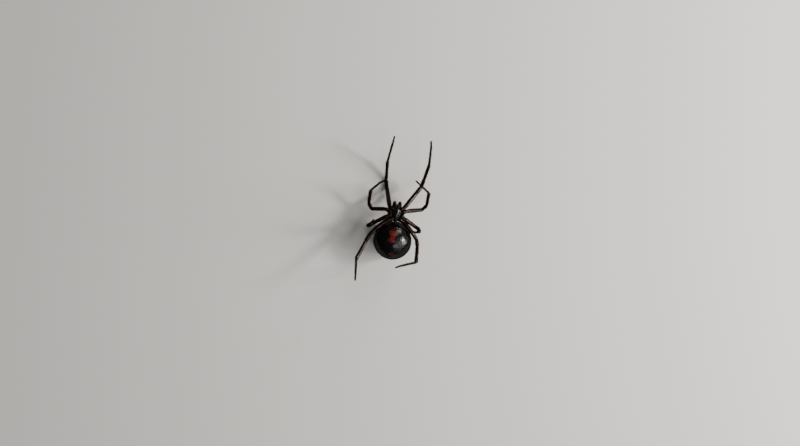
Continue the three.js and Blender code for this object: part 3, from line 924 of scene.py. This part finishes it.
def inner_way(segments):
    """Square to the last segment, towards the body: the sole of the foot."""
    tarsus = segments[-1]
    inward = segments[0].start - tarsus.end
    return (inward - tarsus.way * inward.dot(tarsus.way)).normalized()


# Claws: each one's side and length, how far they are sunk in the foot in millimetres, and how far they
# bend; the rest are shares of the claws' size
claw_forms = ((0.4, 1.0), (-0.4, 1.0), (0, 0.6))
claw_rings, claw_sink, claw_bend = 8, 0.03, 1.7
claw_curl, claw_radius, claw_taper = 0.75, 0.16, 0.9
claw_root_spread, claw_tip_spread = 0.35, 0.4


def claws_piece(name, segments, size, finish):
    """Two claws side by side and a shorter one between them, each curling towards the sole."""
    tarsus, sole = segments[-1], inner_way(segments)
    across = tarsus.way.cross(sole)
    bm = bmesh.new()
    places = [k / claw_rings for k in range(claw_rings + 1)]
    radii = [size * claw_radius * (1 - claw_taper * place) for place in places]
    for spread, reach in claw_forms:
        aside, curl = across * spread * size, size * reach * claw_curl
        root = tarsus.end - tarsus.way * claw_sink + aside * claw_root_spread
        centres = []
        for place in places:
            bend = place * claw_bend
            ahead, down = math.sin(bend) * curl, (1 - math.cos(bend)) * curl
            centres.append(root + tarsus.way * ahead + sole * down + aside * claw_tip_spread * place)
        add_tube(bm, centres, radii, sides=8)
    finish_piece(name, bm, finish)


# Hairs
# How far they are sunk in the skin in millimetres, their random spreads, and their patch of the unwrap
hair_sink = 0.02
segment_size_spread, skin_size_spread = (0.6, 1.25), (0.6, 1.3)
width_spread, lean_spread = (0.7, 1.2), (0.75, 1.25)
segment_sway, skin_sway = 0.35, 0.4
scatter = 0.3
flattest_skin = 0.05
patch_size = 0.003


def any_way(draw, reach=1):
    return Vector([draw.uniform(-reach, reach) for _ in range(3)])


class Coat:
    """Many short hairs over a skin, joined in one mesh."""

    def __init__(self, seed):
        self.draw = random.Random(seed)
        self.rows = []

    def add(self, root, out, along, length, thickness, lift, patch):
        """Lift is its angle off the skin at its root and at its tip; patch is its place on the unwrap."""
        self.rows.append((*root, *out, *along, length, thickness, *lift, *patch))

    def leans(self, lift):
        return tuple(angle * self.draw.uniform(*lean_spread) for angle in lift)

    def cover_segment(self, segment, number, count, per_mm2, length, thickness=0.012):
        lift = (0.9, 0.35)
        area = math.tau * segment.radius * segment.length
        for _ in range(round(per_mm2 * area)):
            share, angle = self.draw.uniform(0.02, 0.99), self.draw.uniform(0, math.tau)
            root, out, along = segment.skin(share, angle)
            size = length * self.draw.uniform(*segment_size_spread)
            sway = self.draw.uniform(-segment_sway, segment_sway)
            along = (along + along.cross(out) * sway).normalized()
            leans = self.leans(lift)
            patch = (angle / math.tau, (number + share) / count)
            width = thickness * self.draw.uniform(*width_spread)
            self.add(root, out, along, size, width, leans, patch)

    def cover_skin(self, piece, frame, towards, per_mm2, length, lift, thickness, where=None):
        """Scatters hairs over a finished skin, lying towards a direction."""
        mesh = piece.data
        back = into_place.inverted()
        faces = [
            face for face in mesh.polygons
            if not where or where(frame.inverted() @ (back @ face.center))
        ]
        areas = np.array([face.area for face in faces]) / MM ** 2
        reach = areas.cumsum()
        middle = back @ (sum((Vector(corner) for corner in piece.bound_box), Vector()) / 8)
        for _ in range(round(per_mm2 * reach[-1])):
            face = faces[int(np.searchsorted(reach, self.draw.uniform(0, reach[-1])))]
            root, out = back @ face.center, face.normal.copy()
            root += any_way(self.draw) * math.sqrt(face.area) / MM * scatter
            along = towards - out * towards.dot(out)
            if along.length < flattest_skin:
                continue
            along.normalize()
            sway = self.draw.uniform(-skin_sway, skin_sway)
            along = (along + along.cross(out) * sway).normalized()
            way = (root - middle).normalized()
            patch = (
                math.atan2(way.x, way.z) / math.tau + 0.5,
                math.acos(min(max(way.y, -1), 1)) / math.pi,
            )
            leans = self.leans(lift)
            size = length * self.draw.uniform(*skin_size_spread)
            width = thickness * self.draw.uniform(*width_spread)
            self.add(root, out, along, size, width, leans, patch)

    def make(self, name, finish):
        """Builds three-sided spikes of two lengths each, bent towards the skin."""
        rows = np.array(self.rows)
        root, out, along = rows[:, 0:3], rows[:, 3:6], rows[:, 6:9]
        length, width, lift_root, lift_tip = (rows[:, k:k + 1] for k in (9, 10, 11, 12))
        patch = rows[:, 13:15]
        first = out * np.sin(lift_root) + along * np.cos(lift_root)
        second = out * np.sin(lift_tip) + along * np.cos(lift_tip)
        side = np.cross(first, np.cross(out, along))
        side /= np.linalg.norm(side, axis=1, keepdims=True)
        third = np.cross(first, side)
        middle = root + first * length * 0.5
        corners = [math.tau * k / 3 for k in range(3)]
        rings = [
            centre + (side * math.cos(angle) + third * math.sin(angle)) * width * share
            for centre, share in ((root - first * hair_sink, 1.0), (middle, 0.75))
            for angle in corners
        ]
        points = np.stack([*rings, middle + second * length * 0.5], axis=1)
        points[:, :, 2] = np.maximum(points[:, :, 2], floor_level)
        corner_faces = [(2, 1, 0)]
        for k in range(3):
            n = (k + 1) % 3
            corner_faces += [(k, n, 3 + n), (k, 3 + n, 3 + k), (3 + k, 3 + n, 6)]
        faces = (np.array(corner_faces)[None] + 7 * np.arange(len(rows))[:, None, None]).reshape(-1, 3)
        places = points.reshape(-1, 3) * MM + np.array(abdomen_middle)
        mesh = bpy.data.meshes.new(name)
        mesh.from_pydata(places.tolist(), [], faces.tolist())
        mesh.shade_smooth()
        steps = np.array([(math.cos(angle), 0) for angle in corners] * 2 + [(0, 1)]) / 2
        steps[3:6, 1] = 0.25
        spots = patch_size + patch[:, None, :] * (1 - 2 * patch_size) + steps[None] * patch_size
        uv_map = mesh.uv_layers.new(name="OFBake")
        uv_map.data.foreach_set("uv", spots.reshape(-1, 2)[faces.reshape(-1)].reshape(-1))
        ride_along(name, mesh, finish)


# The forms of single hairs: length, thickness, and lift at root and tip
bristle_form, bristle_places = (0.5, 0.018, (1.25, 1.0)), ((3, 0.9), (4, 0.3), (4, 0.75))
comb_form, comb_bristles, comb_start, comb_step = (0.3, 0.018, (0.9, 0.1)), 9, 0.15, 0.08
fringe_form, fringe_hairs = (0.16, 0.009, (0.8, 0.5)), 160
spinneret_tip_form, spinneret_tip_hairs = (0.1, 0.007, (0.3, 0.15)), 26
spinneret_side_form, spinneret_side_hairs = (0.14, 0.007, (0.7, 0.3)), 40

# The coats of the body: how many hairs on a square millimetre, their length, lift and thickness
abdomen_coat = (26, 0.17, (0.75, 0.25), 0.009)
carapace_coat = (9, 0.15, (0.9, 0.4), 0.008)
sternum_coat = (40, 0.16, (1.2, 0.8), 0.009)


def leg_hairs(side, number, finish):
    segments = leg_segments(side, number)
    coat = Coat(seed=f"{side}{number}")
    for i, segment in enumerate(segments):
        coat.cover_segment(segment, i, len(segments), *segment_skins[segment.name][1:])
    sole = inner_way(segments)
    for k, share in bristle_places:
        segment = segments[k]
        out = (-sole - segment.way * -sole.dot(segment.way)).normalized()
        root = segment.centre(share) + out * segment.thickness(share)
        coat.add(root, out, segment.way, *bristle_form, (0.5, share))
    if number == 4:
        tarsus = segments[-1]
        for k in range(comb_bristles):
            share = comb_start + comb_step * k
            root = tarsus.centre(share) + sole * tarsus.thickness(share)
            coat.add(root, sole, tarsus.way, *comb_form, (0.25, share))
    coat.make(f"leg_hairs_{side}_{number}", finish)


def palp_hairs(side, finish):
    segments = palp_segments(side)
    coat = Coat(seed=f"palp {side}")
    for i, segment in enumerate(segments):
        coat.cover_segment(segment, i, len(segments), per_mm2=110, length=0.2, thickness=0.01)
    coat.make(f"palp_hairs_{side}", finish)


def maxilla_hairs(side, finish):
    """The dense fringe at the inner front edge of each maxilla."""
    sign = body_sides[side]
    coat = Coat(seed=f"maxilla {side}")
    line = smooth_line([body_frame @ Vector((sign * x, y, z)) for x, y, z in maxilla_path])
    forward = body_frame.to_3x3() @ Vector((-sign * 0.5, 0.8, 0.1)).normalized()
    up = Vector((0, 0, 1))
    off_middle = 0.13
    for _ in range(fringe_hairs):
        share, angle = coat.draw.uniform(0.62, 1.0), coat.draw.uniform(-1.5, 1.5)
        out = (forward * math.cos(angle) + up * math.sin(angle)).normalized()
        root = line(share) + out * off_middle
        along = (forward + any_way(coat.draw, 0.3)).normalized()
        coat.add(root, out, along, *fringe_form, (share, angle / 4 + 0.5))
    coat.make(f"maxilla_fringe_{side}", finish)


def body_hairs(abdomen, cephalothorax, sternum, finish):
    rear = Vector((0, -1, 0))
    coat = Coat(seed="abdomen")
    off_floor = floor_level + 0.3
    coat.cover_skin(abdomen, abdomen_frame, rear, *abdomen_coat, where=lambda place: place.z > off_floor)
    coat.make("abdomen_hairs", finish)
    coat = Coat(seed="front of the body")
    coat.cover_skin(cephalothorax, body_frame, -rear, *carapace_coat)
    coat.cover_skin(sternum, body_frame, rear, *sternum_coat, where=lambda place: place.z > sternum_z)
    coat.make("front_hairs", finish)
    coat = Coat(seed="spinnerets")
    for root, way, radius, length in spinneret_tips():
        top = spinneret_frame @ (root + way * length)
        aim = spinneret_frame.to_3x3() @ way
        for _ in range(spinneret_tip_hairs):
            off = any_way(coat.draw)
            out = (off - aim * off.dot(aim)).normalized()
            spot = top + out * radius * 0.5 * math.sqrt(coat.draw.random())
            coat.add(spot, out, aim, *spinneret_tip_form, (coat.draw.random(), 0.95))
        for _ in range(spinneret_side_hairs):
            off = any_way(coat.draw)
            out = (off - aim * off.dot(aim)).normalized()
            share = coat.draw.uniform(0.1, 0.9)
            spot = spinneret_frame @ (root + way * length * share) + out * radius * (1.02 - 0.35 * share)
            coat.add(spot, out, aim, *spinneret_side_form, (coat.draw.random(), share))
    coat.make("spinneret_hairs", finish)


# Stage
def light(name, turn, rise, distance, width, height, power, tint):
    """A soft light that faces the spider, turned from the photo's right towards its top, in degrees."""
    turn, rise = math.radians(turn), math.radians(rise)
    level = photo_right * math.cos(turn) + photo_up * math.sin(turn)
    way = level * math.cos(rise) + Vector((0, 0, math.sin(rise)))
    place = abdomen_middle + way * distance
    lamp = bpy.data.lights.new(name, "AREA")
    lamp.shape = "RECTANGLE"
    lamp.size, lamp.size_y = width, height
    lamp.energy = power
    lamp.color = tint
    holder = added(name, lamp)
    holder.location = place
    holder.rotation_mode = "QUATERNION"
    holder.rotation_quaternion = (abdomen_middle - place).to_track_quat("-Z", "Y")


# Softboxes: angle round and up from the floor, distance, width and height in metres, watts and tint
softboxes = {
    "key_softbox": (6, 28, 0.3, 0.045, 0.045, 0.95, (1, 0.98, 0.95)),
    "strip_softbox": (-8, 20, 0.4, 0.12, 0.24, 1.5, (1, 0.98, 0.96)),
    "second_softbox": (52, 22, 0.3, 0.06, 0.06, 0.36, (0.97, 1, 0.96)),
    "third_softbox": (-60, 54, 0.35, 0.06, 0.06, 0.14, (0.98, 0.98, 1)),
    "wide_softbox": (-34, 42, 0.5, 0.42, 0.42, 1.4, (1, 0.99, 0.97)),
}
floor_half_width = 1.0
world_strength = 0.11


def stage():
    bm = bmesh.new()
    bmesh.ops.create_grid(bm, x_segments=1, y_segments=1, size=floor_half_width)
    mesh = bpy.data.meshes.new("floor")
    bm.to_mesh(mesh)
    bm.free()
    floor = added("floor", mesh)
    paint = Finish("pale_floor", None, 0.9, specular=0.2)
    paint.set("Base Color", colour(0.62, 0.6, 0.57))
    mesh.materials.append(paint.material)

    world = bpy.data.worlds.new("studio")
    bpy.context.scene.world = world
    world.use_nodes = True
    background = world.node_tree.nodes["Background"]
    background.inputs["Color"].default_value = colour(0.95, 0.97, 1.0)
    background.inputs["Strength"].default_value = world_strength

    for name, form in softboxes.items():
        light(name, *form)


def camera():
    """The photograph's view: straight down, with its tilt and its wide framing."""
    lens, sensor_width = 50, 36
    photo_width_px = 800
    mm_per_px = 0.2174
    spider_right_px, spider_up_px = 7.5, 17.8
    distance = lens / sensor_width * photo_width_px * mm_per_px * MM
    view = bpy.data.cameras.new("photo_camera")
    view.lens, view.sensor_width = lens, sensor_width
    view.clip_start, view.clip_end = 0.001, 10
    holder = added("photo_camera", view)
    aside = (photo_right * spider_right_px + photo_up * spider_up_px) * mm_per_px * MM
    holder.location = abdomen_middle + aside + Vector((0, 0, distance))
    holder.rotation_euler = (0, 0, photo_tilt)
    bpy.context.scene.camera = holder


camera()
stage()

abdomen_look, leg_look = abdomen_finish(), leg_finish()
shell_look = shell_finish("glossy_black_shell", specular=0.34)
sternum_look = shell_finish("polished_black_sternum", specular=0.85)
mouth_look, eye_look = mouth_finish(), eye_finish()
fang_look, spinneret_look = fang_finish(), spinneret_finish()
leg_hair_look = hair_finish("leg_hair", "leg", (0.003, 0.001, 0.0006), (0.01, 0.003, 0.0015))
body_hair_look = hair_finish("body_hair", "shell", (0.004, 0.003, 0.002), (0.018, 0.01, 0.007))

abdomen_skin = abdomen_piece(abdomen_look)
cephalothorax_skin = cephalothorax_piece(shell_look)
sternum_skin = sternum_piece(sternum_look)
eye_pieces(eye_look)
mouth_pieces(shell_look, mouth_look, fang_look)
pedicel_piece(shell_look)
spinnerets_piece(spinneret_look)
for side_name in body_sides:
    palp_piece(side_name, leg_look)
    palp_hairs(side_name, leg_hair_look)
    claws_piece(f"palp_claw_{side_name}", palp_segments(side_name), 0.09, fang_look)
    maxilla_hairs(side_name, leg_hair_look)
    for leg_number in range(1, 5):
        leg_piece(side_name, leg_number, leg_look)
        leg_hairs(side_name, leg_number, leg_hair_look)
        claws_piece(f"claws_{side_name}_{leg_number}", leg_segments(side_name, leg_number), 0.16, fang_look)
body_hairs(abdomen_skin, cephalothorax_skin, sternum_skin, body_hair_look)
